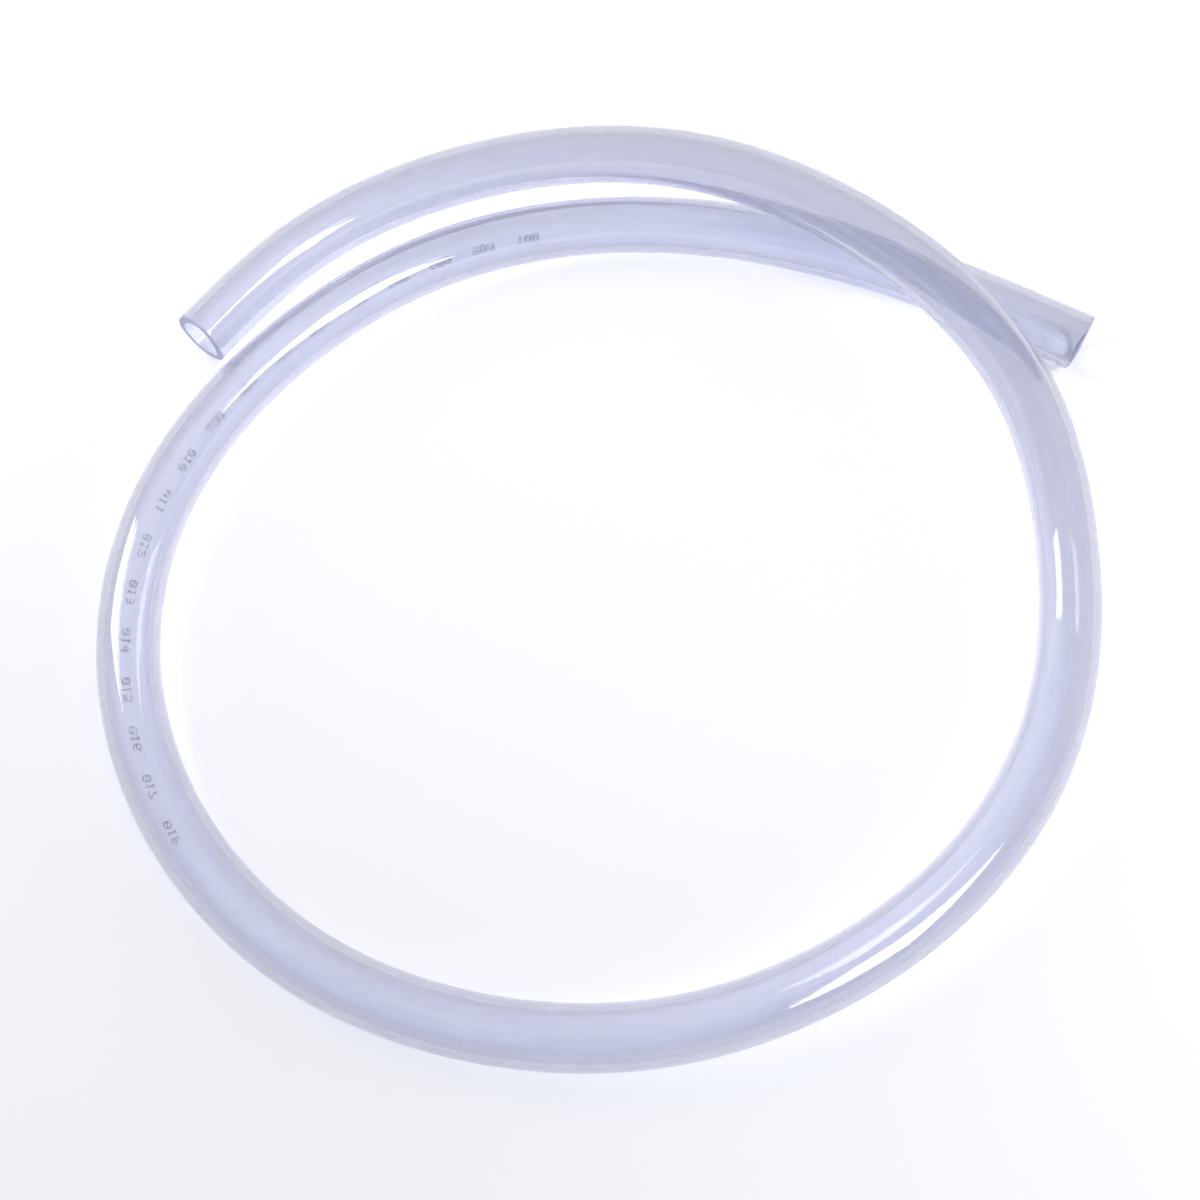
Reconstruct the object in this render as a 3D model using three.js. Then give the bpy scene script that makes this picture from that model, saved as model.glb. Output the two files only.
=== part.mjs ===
// Clear PVC hose lying as a loose loop of one and a quarter turns. Millimetres, +Z up, floor at z = 0.
import * as THREE from "three";

const outsideDiameter = 16;
const wallThickness = 2;
const sides = 20;
const flatLength = 12.3;

// The knife went through a little off square, in degrees: at both ends the top of the cut lies
// further along the hose than its foot.
const leftCutLean = 3;
const rightCutLean = 3;

// Control points of the centreline, from the cut end at the upper left, clockwise round the loop as
// seen from above: X, Y and the lift off the floor in hose diameters. The first turn starts on the
// floor, rises in one long low hump over the far end of the hose and comes down again.
const routePoints = [
  [-118, 66.5, 0],
  [-93, 99.5, 0],
  [-56, 118.5, 0.2],
  [-14.5, 125, 0.53],
  [25.5, 119, 0.86],
  [61.5, 99.5, 1.09],
  [94, 72, 1.08],
  [115, 41.5, 0.7],
  [121.5, 4.5, 0.21],
  [118.5, -34.5, 0],
  [102.5, -68.5, 0],
  [77, -94.5, 0],
  [47.5, -112, 0],
  [15.5, -122.5, 0],
  [-18.5, -124, 0],
  [-53.5, -117, 0],
  [-85.5, -101, 0],
  [-112, -73.5, 0],
  [-128, -38, 0],
  [-129.5, 2, 0],
  [-115, 39.5, 0],
  [-88.5, 70.5, 0],
  [-56.5, 93, 0],
  [-20.5, 104.5, 0],
  [17.5, 106.5, 0],
  [57, 99.5, 0],
  [95, 85.5, 0],
  [132.5, 65.5, 0],
];

// Smooth cubic curve drawn by the control points. It starts and ends on the first and last of them,
// and its frames stay level, so that one flat of the section faces the floor all the way round.
class HosePath extends THREE.Curve {
  constructor(points) {
    super();
    this.points = points.map(
      ([x, y, lift]) => new THREE.Vector3(x, y, outsideDiameter * (0.5 + lift)),
    );
    this.arcLengthDivisions = 1000;
  }

  control(i) {
    const last = this.points.length - 1;
    if (i < 0) {
      return this.points[0].clone().multiplyScalar(2).sub(this.points[1]);
    }
    if (i > last) {
      return this.points[last].clone().multiplyScalar(2).sub(this.points[last - 1]);
    }
    return this.points[i];
  }

  getPoint(t, target = new THREE.Vector3()) {
    const spans = this.points.length - 1;
    const i = Math.min(Math.floor(t * spans), spans - 1);
    const u = t * spans - i;
    const weights = [
      (1 - u) ** 3 / 6,
      (3 * u ** 3 - 6 * u ** 2 + 4) / 6,
      (-3 * u ** 3 + 3 * u ** 2 + 3 * u + 1) / 6,
      u ** 3 / 6,
    ];
    target.set(0, 0, 0);
    weights.forEach((w, k) => target.addScaledVector(this.control(i - 1 + k), w));
    return target;
  }

  computeFrenetFrames(segments) {
    const up = new THREE.Vector3(0, 0, 1);
    const frames = { tangents: [], normals: [], binormals: [] };
    for (let i = 0; i <= segments; i += 1) {
      const tangent = this.getTangentAt(i / segments);
      const normal = new THREE.Vector3().crossVectors(up, tangent).normalize();
      const upright = new THREE.Vector3().crossVectors(tangent, normal);
      let lean = 0;
      if (i === 0) {
        lean = leftCutLean;
      }
      if (i === segments) {
        lean = rightCutLean;
      }
      upright.addScaledVector(tangent, Math.tan(THREE.MathUtils.degToRad(lean)));
      frames.tangents.push(tangent);
      frames.normals.push(normal);
      frames.binormals.push(upright);
    }
    return frames;
  }
}

// One ring of the section, its flats touching a circle of the given radius, one flat straight down.
function sectionRing(radius) {
  const corner = radius / Math.cos(Math.PI / sides);
  const ring = [];
  for (let i = 0; i < sides; i += 1) {
    const angle = ((i + 0.5) * 2 * Math.PI) / sides;
    ring.push(new THREE.Vector2(corner * Math.cos(angle), corner * Math.sin(angle)));
  }
  return ring;
}

const outsideRadius = outsideDiameter / 2;
const boreRadius = outsideRadius - wallThickness;

const section = new THREE.Shape(sectionRing(outsideRadius));
section.holes.push(new THREE.Path(sectionRing(boreRadius)));

const path = new HosePath(routePoints);
const hoseGeometry = new THREE.ExtrudeGeometry(section, {
  steps: Math.round(path.getLength() / flatLength),
  bevelEnabled: false,
  extrudePath: path,
});

const clearPvc = new THREE.MeshStandardMaterial({
  name: "clear_pvc",
  color: 0xd3d6ef,
  roughness: 0.12,
  metalness: 0,
  transparent: true,
  opacity: 0.4,
});

const hose = new THREE.Mesh(hoseGeometry, clearPvc);
hose.name = "hose";

const part = new THREE.Group();
part.name = "pvc_hose";
part.add(hose);

export default part;
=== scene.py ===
import math
import bmesh
import bpy
import numpy as np
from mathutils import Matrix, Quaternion, Vector


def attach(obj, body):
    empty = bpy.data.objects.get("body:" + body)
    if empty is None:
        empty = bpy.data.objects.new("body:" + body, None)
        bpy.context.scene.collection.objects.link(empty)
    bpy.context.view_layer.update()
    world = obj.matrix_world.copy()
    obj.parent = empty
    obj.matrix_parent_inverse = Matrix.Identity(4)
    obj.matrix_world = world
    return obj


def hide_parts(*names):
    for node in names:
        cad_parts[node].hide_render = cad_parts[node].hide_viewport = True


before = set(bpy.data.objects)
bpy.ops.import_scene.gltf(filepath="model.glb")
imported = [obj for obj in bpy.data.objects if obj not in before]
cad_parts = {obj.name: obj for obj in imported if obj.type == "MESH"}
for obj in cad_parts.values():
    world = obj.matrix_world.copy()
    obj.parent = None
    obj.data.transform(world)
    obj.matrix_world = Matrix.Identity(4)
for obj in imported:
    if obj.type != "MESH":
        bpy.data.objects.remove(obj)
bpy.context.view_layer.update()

scene = bpy.context.scene

# the hose as it is sold: 12 mm bore, 2 mm wall, lengths in metres
hose = {
    "outside": 0.016,
    "wall": 0.002,
    "rings": 440,            # along the length
    "sides": 96,             # round the section
    "spanSamples": 60,       # between two points of the route
    "outerRim": 0.00045,     # how far the cut edges are rounded over
    "innerRim": 0.00020,
    "rimSteps": 5,
    "cutLean": 3.0,          # degrees, the top of each cut lies further along
    "leftRecess": 0.00045,   # the shears left top and foot of the cut set back
    "rightRecess": 0.00015,
    "wobble": 0.00006,       # how far the cut edge waves in and out
    "wobbleWaves": 3,
    "wobbleTurn": 1.1,       # radians
}

# X, Y and lift off the floor, the lift in hose diameters
routePoints = [
    (-0.1180, 0.0665, 0.00),
    (-0.0930, 0.0995, 0.00),
    (-0.0560, 0.1185, 0.20),
    (-0.0145, 0.1250, 0.53),
    (0.0255, 0.1190, 0.86),
    (0.0615, 0.0995, 1.09),
    (0.0940, 0.0720, 1.08),
    (0.1150, 0.0415, 0.70),
    (0.1215, 0.0045, 0.21),
    (0.1185, -0.0345, 0.00),
    (0.1025, -0.0685, 0.00),
    (0.0770, -0.0945, 0.00),
    (0.0475, -0.1120, 0.00),
    (0.0155, -0.1225, 0.00),
    (-0.0185, -0.1240, 0.00),
    (-0.0535, -0.1170, 0.00),
    (-0.0855, -0.1010, 0.00),
    (-0.1120, -0.0735, 0.00),
    (-0.1280, -0.0380, 0.00),
    (-0.1295, 0.0020, 0.00),
    (-0.1150, 0.0395, 0.00),
    (-0.0885, 0.0705, 0.00),
    (-0.0565, 0.0930, 0.00),
    (-0.0205, 0.1045, 0.00),
    (0.0175, 0.1065, 0.00),
    (0.0570, 0.0995, 0.00),
    (0.0950, 0.0855, 0.00),
    (0.1325, 0.0655, 0.00),
]


def smoothLine(points, count):
    # smooth cubic through the route, sampled finely, then spaced evenly along its length
    p = np.array(points)
    p[:, 2] = hose["outside"] * (0.5 + p[:, 2])
    p = np.vstack([2 * p[0] - p[1], p, 2 * p[-1] - p[-2]])
    spans = len(points) - 1
    t = np.linspace(0, spans, spans * hose["spanSamples"] + 1)
    i = np.minimum(t.astype(int), spans - 1)
    u = (t - i)[:, None]
    fine = ((1 - u) ** 3 * p[i] + (3 * u ** 3 - 6 * u ** 2 + 4) * p[i + 1]
            + (-3 * u ** 3 + 3 * u ** 2 + 3 * u + 1) * p[i + 2] + u ** 3 * p[i + 3]) / 6
    run = np.concatenate([[0], np.cumsum(np.linalg.norm(np.diff(fine, axis=0), axis=1))])
    at = np.linspace(0, run[-1], count)
    return np.stack([np.interp(at, run, fine[:, k]) for k in range(3)], 1), run[-1]


def levelFrames(line):
    ahead = np.gradient(line, axis=0)
    ahead /= np.linalg.norm(ahead, axis=1)[:, None]
    side = np.cross((0, 0, 1), ahead)
    side /= np.linalg.norm(side, axis=1)[:, None]
    return ahead, side, np.cross(ahead, side)


line, hoseLength = smoothLine(routePoints, hose["rings"])
ahead, side, up = levelFrames(line)
print(f"route: {hoseLength * 1000:.0f} mm long")


def cutRows(middle, forward, sideways, upright, turn, recess, outward):
    # one cut end, from the outside skin over both rims to the bore
    outer = hose["outside"] / 2
    inner = outer - hose["wall"]
    lean = math.tan(math.radians(hose["cutLean"]))
    bends = [math.pi / 2 * step / hose["rimSteps"] for step in range(hose["rimSteps"] + 1)]
    profile = []
    for bend in bends:
        profile.append((outer - hose["outerRim"] * (1 - math.cos(bend)),
                        hose["outerRim"] * (1 - math.sin(bend))))
    for bend in reversed(bends):
        profile.append((inner + hose["innerRim"] * (1 - math.cos(bend)),
                        hose["innerRim"] * (1 - math.sin(bend))))
    wobble = hose["wobble"] * np.cos(hose["wobbleWaves"] * turn + hose["wobbleTurn"])
    spokes = np.cos(turn)[:, None] * sideways + np.sin(turn)[:, None] * upright
    rows = []
    for radius, back in profile:
        setBack = back + recess * (0.5 - 0.5 * np.cos(2 * turn)) + wobble
        along = lean * radius * np.sin(turn) - outward * setBack
        rows.append(middle + radius * spokes + along[:, None] * forward)
    return rows


def buildHose():
    outer = hose["outside"] / 2
    inner = outer - hose["wall"]
    sides = hose["sides"]
    turn = np.linspace(0, 2 * math.pi, sides, endpoint=False)
    last = hose["rings"] - 1

    def ring(k, radius):
        return line[k] + radius * (np.cos(turn)[:, None] * side[k] + np.sin(turn)[:, None] * up[k])

    # outside skin to the right end, over its cut, back along the bore and over the left cut
    endCut = cutRows(line[last], ahead[last], side[last], up[last], turn, hose["rightRecess"], 1)
    startCut = cutRows(line[0], ahead[0], side[0], up[0], turn, hose["leftRecess"], -1)
    rows = [(ring(k, outer), k / last, 0) for k in range(1, last)]
    rows += [(row, 1.0, 1) for row in endCut]
    rows += [(ring(k, inner), k / last, 0) for k in range(last - 1, 0, -1)]
    rows += [(row, 0.0, 1) for row in reversed(startCut)]

    mesh = bpy.data.meshes.new("hoseSkin")
    bm = bmesh.new()
    uvLayer = bm.loops.layers.uv.new("lengthRound")
    grid = [[bm.verts.new(p) for p in row] for row, _, _ in rows]
    for r in range(len(rows)):
        s = (r + 1) % len(rows)
        for c in range(sides):
            d = (c + 1) % sides
            face = bm.faces.new((grid[r][c], grid[r][d], grid[s][d], grid[s][c]))
            face.smooth = True
            face.material_index = 1 if rows[r][2] and rows[s][2] else 0
            lengths = (rows[r][1], rows[r][1], rows[s][1], rows[s][1])
            rounds = (c, c + 1, c + 1, c)
            for loop, alongIt, roundIt in zip(face.loops, lengths, rounds):
                loop[uvLayer].uv = (alongIt, roundIt / sides)
    bmesh.ops.recalc_face_normals(bm, faces=bm.faces)
    bm.to_mesh(mesh)
    bm.free()
    obj = bpy.data.objects.new("clearHose", mesh)
    scene.collection.objects.link(obj)
    return obj


clearHose = buildHose()
print(f"hose skin: {len(clearHose.data.polygons)} faces")

# what a user would change about the plastic
pvc = {
    "ior": 1.53,
    "tint": (0.760, 0.766, 0.806),
    "hazyTint": (0.732, 0.738, 0.784),
    "absorbColor": (0.22, 0.25, 0.64),
    "absorbDensity": 38.0,
    "shadowTint": (0.98, 0.98, 0.985),
    "bumpDepth": 0.0002,
    "skin": {
        "clearness": 0.92,
        "roughness": 0.03,
        "haze": 0.05,
        "lines": 12.0,
        "lineStrength": 0.02,
        "shade": (1, 1, 1),
    },
    "cut": {
        "clearness": 0.35,
        "roughness": 0.30,
        "haze": 0.1,
        "lines": 60.0,
        "lineStrength": 0.5,
        "shade": (0.74, 0.77, 1.0),
    },
}

# the patterns left by extruding, "Along" is how fast each changes over the whole length
extrusion = {
    "linesAlong": 0.35,
    "ripplesAlong": 26.0,
    "patchesAlong": 14.0,
    "patchScale": 1.7,
    "hazeFrom": 0.42,
    "hazeTo": 0.72,
    "tintFrom": 0.3,
    "tintTo": 0.7,
}


def newNode(group, kind, **sockets):
    # a node with some inputs set, an underscore stands for a space in the name
    node = group.nodes.new(kind)
    for name, value in sockets.items():
        node.inputs[name.replace("_", " ")].default_value = value
    return node


def mathNode(group, operation, a, b=None):
    node = group.nodes.new("ShaderNodeMath")
    node.operation = operation
    for i, value in enumerate((a, b)):
        if value is None:
            continue
        if isinstance(value, (int, float)):
            node.inputs[i].default_value = value
        else:
            group.links.new(value, node.inputs[i])
    return node.outputs[0]


def mixColors(group, first, second, factor, blend="MIX"):
    # each of the three is a plain value or another node's output
    node = group.nodes.new("ShaderNodeMix")
    node.data_type = "RGBA"
    node.blend_type = blend
    for name, value in (("A", first), ("B", second), ("Factor", factor)):
        if isinstance(value, tuple):
            node.inputs[name].default_value = (*value, 1)
        elif isinstance(value, float):
            node.inputs[name].default_value = value
        else:
            group.links.new(value, node.inputs[name])
    return node.outputs["Result"]


def roundedPlace(group, uv, alongScale):
    # length and turn of the section as a point, wrapped so that no seam shows
    split = group.nodes.new("ShaderNodeSeparateXYZ")
    group.links.new(uv.outputs["UV"], split.inputs[0])
    angle = mathNode(group, "MULTIPLY", split.outputs["Y"], 2 * math.pi)
    place = group.nodes.new("ShaderNodeCombineXYZ")
    group.links.new(mathNode(group, "COSINE", angle), place.inputs[0])
    group.links.new(mathNode(group, "SINE", angle), place.inputs[1])
    group.links.new(mathNode(group, "MULTIPLY", split.outputs["X"], alongScale), place.inputs[2])
    return place.outputs[0]


def extrusionGroup():
    # fine lines drawn along the hose by the die, slow ripples in the wall and a patchy haze
    group = bpy.data.node_groups.new("extrusionMarks", "ShaderNodeTree")
    panel = group.interface
    given = {"Line Count": 12.0, "Ripple Depth": 0.5, "Base Roughness": 0.02, "Haze": 0.05}
    for name, value in given.items():
        socket = panel.new_socket(name=name, in_out="INPUT", socket_type="NodeSocketFloat")
        socket.default_value = value
    panel.new_socket(name="Height", in_out="OUTPUT", socket_type="NodeSocketFloat")
    panel.new_socket(name="Roughness", in_out="OUTPUT", socket_type="NodeSocketFloat")
    panel.new_socket(name="Tint", in_out="OUTPUT", socket_type="NodeSocketColor")
    source = group.nodes.new("NodeGroupInput")
    result = group.nodes.new("NodeGroupOutput")
    uv = group.nodes.new("ShaderNodeUVMap")
    uv.uv_map = "lengthRound"
    lines = newNode(group, "ShaderNodeTexNoise", Detail=3.0, Roughness=0.6)
    group.links.new(roundedPlace(group, uv, extrusion["linesAlong"]), lines.inputs["Vector"])
    group.links.new(source.outputs["Line Count"], lines.inputs["Scale"])
    ripples = newNode(group, "ShaderNodeTexNoise", Scale=1.0, Detail=1.0)
    group.links.new(roundedPlace(group, uv, extrusion["ripplesAlong"]), ripples.inputs["Vector"])
    swell = mathNode(group, "MULTIPLY", ripples.outputs["Fac"], source.outputs["Ripple Depth"])
    group.links.new(mathNode(group, "ADD", lines.outputs["Fac"], swell), result.inputs["Height"])
    patches = newNode(group, "ShaderNodeTexNoise", Scale=extrusion["patchScale"], Detail=4.0)
    group.links.new(roundedPlace(group, uv, extrusion["patchesAlong"]), patches.inputs["Vector"])
    spread = newNode(group, "ShaderNodeMapRange", From_Min=extrusion["hazeFrom"],
                     From_Max=extrusion["hazeTo"])
    group.links.new(patches.outputs["Fac"], spread.inputs["Value"])
    haze = mathNode(group, "MULTIPLY", spread.outputs[0], source.outputs["Haze"])
    roughness = mathNode(group, "ADD", haze, source.outputs["Base Roughness"])
    group.links.new(roughness, result.inputs["Roughness"])
    tint = group.nodes.new("ShaderNodeValToRGB")
    tint.color_ramp.elements[0].position = extrusion["tintFrom"]
    tint.color_ramp.elements[0].color = (*pvc["hazyTint"], 1)
    tint.color_ramp.elements[1].position = extrusion["tintTo"]
    tint.color_ramp.elements[1].color = (*pvc["tint"], 1)
    group.links.new(patches.outputs["Fac"], tint.inputs[0])
    group.links.new(tint.outputs[0], result.inputs["Tint"])
    return group


extrusionMarks = extrusionGroup()


def pvcMaterial(name, look):
    mat = bpy.data.materials.new(name)
    mat.use_nodes = True
    tree = mat.node_tree
    tree.nodes.clear()
    out = tree.nodes.new("ShaderNodeOutputMaterial")
    body = tree.nodes.new("ShaderNodeBsdfPrincipled")
    body.inputs["IOR"].default_value = pvc["ior"]
    body.inputs["Transmission Weight"].default_value = look["clearness"]
    drawn = tree.nodes.new("ShaderNodeGroup")
    drawn.node_tree = extrusionMarks
    drawn.inputs["Line Count"].default_value = look["lines"]
    drawn.inputs["Base Roughness"].default_value = look["roughness"]
    drawn.inputs["Haze"].default_value = look["haze"]
    shaded = mixColors(tree, drawn.outputs["Tint"], look["shade"], 1.0, "MULTIPLY")
    tree.links.new(shaded, body.inputs["Base Color"])
    tree.links.new(drawn.outputs["Roughness"], body.inputs["Roughness"])
    bump = newNode(tree, "ShaderNodeBump", Strength=look["lineStrength"], Distance=pvc["bumpDepth"])
    tree.links.new(drawn.outputs["Height"], bump.inputs["Height"])
    tree.links.new(bump.outputs[0], body.inputs["Normal"])
    # lamps reach the floor through the wall, tinted a little
    clear = tree.nodes.new("ShaderNodeBsdfTransparent")
    clear.inputs[0].default_value = (*pvc["shadowTint"], 1)
    path = tree.nodes.new("ShaderNodeLightPath")
    mix = tree.nodes.new("ShaderNodeMixShader")
    tree.links.new(path.outputs["Is Shadow Ray"], mix.inputs[0])
    tree.links.new(body.outputs[0], mix.inputs[1])
    tree.links.new(clear.outputs[0], mix.inputs[2])
    tree.links.new(mix.outputs[0], out.inputs["Surface"])
    absorb = newNode(tree, "ShaderNodeVolumeAbsorption", Color=(*pvc["absorbColor"], 1),
                     Density=pvc["absorbDensity"])
    tree.links.new(absorb.outputs[0], out.inputs["Volume"])
    return mat


clearHose.data.materials.append(pvcMaterial("clearPvc", pvc["skin"]))
clearHose.data.materials.append(pvcMaterial("cutPvc", pvc["cut"]))
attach(clearHose, "root")
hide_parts("hose")
print("hose: finished")

# plain running numbers, dotted on the underside by the printing head and read through the hose
marks = {
    "dotPitch": 0.00039,
    "dotSize": 0.00046,
    "start": 0.8745,         # metres along the hose, the numbers run back from here
    "spacing": 0.0134,
    "count": 18,
    "turn": -65.0,           # degrees round the section, -90 is straight down
    "depth": 0.00004,        # under the outside skin
    "missed": 0.10,          # share of the dots that didn't take
    "jitter": 0.00002,
    "seed": 12,
    "dotSides": 6,
    "digitPitch": 6,         # dots from one digit to the next
    "middleRow": 3,
    "inkColor": (0.03, 0.03, 0.05),
    "thinInkColor": (0.10, 0.10, 0.13),
    "thinnest": 0.7,
    "blotScale": 220.0,
}
digitRows = {
    "0": "01110 10001 10011 10101 11001 10001 01110",
    "1": "00100 01100 00100 00100 00100 00100 01110",
    "2": "01110 10001 00001 00110 01000 10000 11111",
    "3": "11110 00001 00001 01110 00001 00001 11110",
    "4": "00010 00110 01010 10010 11111 00010 00010",
    "5": "11111 10000 11110 00001 00001 10001 01110",
    "6": "00110 01000 10000 11110 10001 10001 01110",
    "7": "11111 00001 00010 00100 01000 01000 01000",
    "8": "01110 10001 10001 01110 10001 10001 01110",
    "9": "01110 10001 10001 01111 00001 00010 01100",
}


def buildMarks():
    radius = hose["outside"] / 2 - marks["depth"]
    half = marks["dotSize"] / 2
    luck = np.random.default_rng(marks["seed"])
    run = np.linspace(0, hoseLength, hose["rings"])

    def onSkin(along, across):
        middle, sideways, upright = [
            np.array([np.interp(along, run, field[:, k]) for k in range(3)])
            for field in (line, side, up)
        ]
        turn = math.radians(marks["turn"]) + across / radius
        return middle + radius * (math.cos(turn) * sideways + math.sin(turn) * upright)

    corners, faces = [], []
    for number in range(marks["count"]):
        groupStart = marks["start"] - number * marks["spacing"]
        for place, digit in enumerate(f"{number + 1:03d}"):
            for row, bits in enumerate(digitRows[digit].split()):
                for column, bit in enumerate(bits):
                    if bit == "0" or luck.random() < marks["missed"]:
                        continue
                    dotsBack = place * marks["digitPitch"] + column
                    dotsUp = marks["middleRow"] - row
                    along = groupStart - dotsBack * marks["dotPitch"]
                    along += luck.normal() * marks["jitter"]
                    across = dotsUp * marks["dotPitch"]
                    across += luck.normal() * marks["jitter"]
                    first = len(corners)
                    for k in range(marks["dotSides"]):
                        spin = k * 2 * math.pi / marks["dotSides"]
                        corners.append(onSkin(along + half * math.cos(spin),
                                              across + half * math.sin(spin)))
                    faces.append(tuple(range(first, len(corners))))
    mesh = bpy.data.meshes.new("printedNumbers")
    mesh.from_pydata(corners, [], faces)
    obj = bpy.data.objects.new("printedNumbers", mesh)
    scene.collection.objects.link(obj)
    return obj


def inkMaterial():
    mat = bpy.data.materials.new("greyInk")
    mat.use_nodes = True
    tree = mat.node_tree
    skin = tree.nodes["Principled BSDF"]
    skin.inputs["Roughness"].default_value = 0.6
    where = tree.nodes.new("ShaderNodeTexCoord")
    blots = newNode(tree, "ShaderNodeTexNoise", Scale=marks["blotScale"], Detail=2.0)
    tree.links.new(where.outputs["Object"], blots.inputs["Vector"])
    shade = tree.nodes.new("ShaderNodeValToRGB")
    shade.color_ramp.elements[0].position = 0.35
    shade.color_ramp.elements[0].color = (*marks["inkColor"], 1)
    shade.color_ramp.elements[1].position = 0.65
    shade.color_ramp.elements[1].color = (*marks["thinInkColor"], 1)
    tree.links.new(blots.outputs["Fac"], shade.inputs[0])
    tree.links.new(shade.outputs[0], skin.inputs["Base Color"])
    thin = newNode(tree, "ShaderNodeMapRange", From_Min=0.3, From_Max=0.7, To_Min=1.0,
                   To_Max=marks["thinnest"])
    tree.links.new(blots.outputs["Fac"], thin.inputs["Value"])
    tree.links.new(thin.outputs[0], skin.inputs["Alpha"])
    return mat


printedNumbers = buildMarks()
printedNumbers.data.materials.append(inkMaterial())
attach(printedNumbers, "root")
print(f"print: {len(printedNumbers.data.polygons)} dots of ink")

# two softboxes stand where the long white reflections on the hose say they stood
studio = {
    "paperReach": 4,         # metres from the middle to each side
    "paperDrop": 0.0002,     # below the hose, so that the two don't share a face
    # painted shade: the next three set a grey-to-white gradient painted across the floor, darker at
    # the near left and lighter at the far right
    "paperPaintedShadeNear": (0.74, 0.74, 0.74),
    "paperPaintedLightFar": (0.93, 0.93, 0.93),
    "paperPaintedShadeFade": 0.22,       # X plus Y runs from minus to plus this while the grey fades out
    "skyFront": (0.26, 0.29, 0.40),
    "skyBack": (0.66, 0.66, 0.66),
    "skyLow": (1.0, 1.0, 1.02),
    "skyStrength": 0.98,
    "skyFade": 0.06,         # half of the change from front to back
    "skyEdge": (0.36, 0.44),  # heights between which the low sky ends, 1 is straight up
    "leftBox": {
        "size": (0.125, 0.182),
        "power": 0.75,
        "at": (-0.380, 0.132, 0.352),
        "roll": 0.0,
    },
    "frontBox": {
        "size": (0.557, 0.942),
        "power": 23.0,
        "at": (0.920, -0.655, 1.590),
        "roll": -0.72,
    },
}


def paperFloor():
    reach = studio["paperReach"]
    corners = [(-reach, -reach, 0), (reach, -reach, 0), (reach, reach, 0), (-reach, reach, 0)]
    mesh = bpy.data.meshes.new("floor")
    mesh.from_pydata(corners, [], [(0, 1, 2, 3)])
    floor = bpy.data.objects.new("floor", mesh)
    scene.collection.objects.link(floor)
    floor.location.z = -studio["paperDrop"]
    mat = bpy.data.materials.new("palePaper")
    mat.use_nodes = True
    tree = mat.node_tree
    skin = tree.nodes["Principled BSDF"]
    skin.inputs["Roughness"].default_value = 0.8
    # painted shade: the floor is painted greyer at the near left and lighter towards the far right,
    # so the hose seen against it is darker on the left
    where = tree.nodes.new("ShaderNodeTexCoord")
    split = tree.nodes.new("ShaderNodeSeparateXYZ")
    tree.links.new(where.outputs["Object"], split.inputs[0])
    fade = studio["paperPaintedShadeFade"]
    across = newNode(tree, "ShaderNodeMapRange", From_Min=-fade, From_Max=fade)
    diagonal = mathNode(tree, "ADD", split.outputs["X"], split.outputs["Y"])
    tree.links.new(diagonal, across.inputs["Value"])
    floorWithPaintedShade = mixColors(tree, studio["paperPaintedShadeNear"], studio["paperPaintedLightFar"], across.outputs[0])
    tree.links.new(floorWithPaintedShade, skin.inputs["Base Color"])
    mesh.materials.append(mat)


def softbox(name, settings):
    lamp = bpy.data.lights.new(name, "AREA")
    lamp.shape = "RECTANGLE"
    lamp.size, lamp.size_y = settings["size"]
    lamp.energy = settings["power"]
    obj = bpy.data.objects.new(name, lamp)
    obj.location = settings["at"]
    aim = (Vector((0, 0, 0)) - Vector(settings["at"])).to_track_quat("-Z", "Y")
    obj.rotation_euler = (aim @ Quaternion((0, 0, 1), settings["roll"])).to_euler()
    scene.collection.objects.link(obj)


def studioSky():
    # darker overhead and towards the camera side, bright white low down all round
    world = bpy.data.worlds.new("studioSky")
    scene.world = world
    world.use_nodes = True
    tree = world.node_tree
    back = tree.nodes["Background"]
    back.inputs["Strength"].default_value = studio["skyStrength"]
    where = tree.nodes.new("ShaderNodeTexCoord")
    split = tree.nodes.new("ShaderNodeSeparateXYZ")
    tree.links.new(where.outputs["Generated"], split.inputs[0])
    fade = studio["skyFade"]
    behind = newNode(tree, "ShaderNodeMapRange", From_Min=-fade, From_Max=fade)
    behind.interpolation_type = "SMOOTHSTEP"
    tree.links.new(split.outputs["Y"], behind.inputs["Value"])
    overhead = mixColors(tree, studio["skyFront"], studio["skyBack"], behind.outputs[0])
    low, high = studio["skyEdge"]
    height = newNode(tree, "ShaderNodeMapRange", From_Min=low, From_Max=high)
    height.interpolation_type = "SMOOTHSTEP"
    tree.links.new(split.outputs["Z"], height.inputs["Value"])
    sky = mixColors(tree, studio["skyLow"], overhead, height.outputs[0])
    tree.links.new(sky, back.inputs["Color"])


paperFloor()
for lightName in ("leftBox", "frontBox"):
    softbox(lightName, studio[lightName])
studioSky()
scene.view_settings.view_transform = "Standard"
scene.cycles.max_bounces = 18
scene.cycles.transmission_bounces = 18
scene.cycles.glossy_bounces = 8
print("studio: floor, lights and world")

# the view of the photograph: from the front and high above
view = {"lens": 41.03, "target": (-0.00413, -0.00941, 0.0), "distance": 0.3711, "tilt": 20.0}
cameraData = bpy.data.cameras.new("photoView")
cameraData.lens = view["lens"]
cameraData.sensor_width = 36
cameraData.clip_start = 0.01
camera = bpy.data.objects.new("photoView", cameraData)
scene.collection.objects.link(camera)
lean = math.radians(view["tilt"])
backwards = Vector((0, -math.sin(lean), math.cos(lean)))
camera.location = Vector(view["target"]) + backwards * view["distance"]
camera.rotation_euler = (lean, 0, 0)
scene.camera = camera
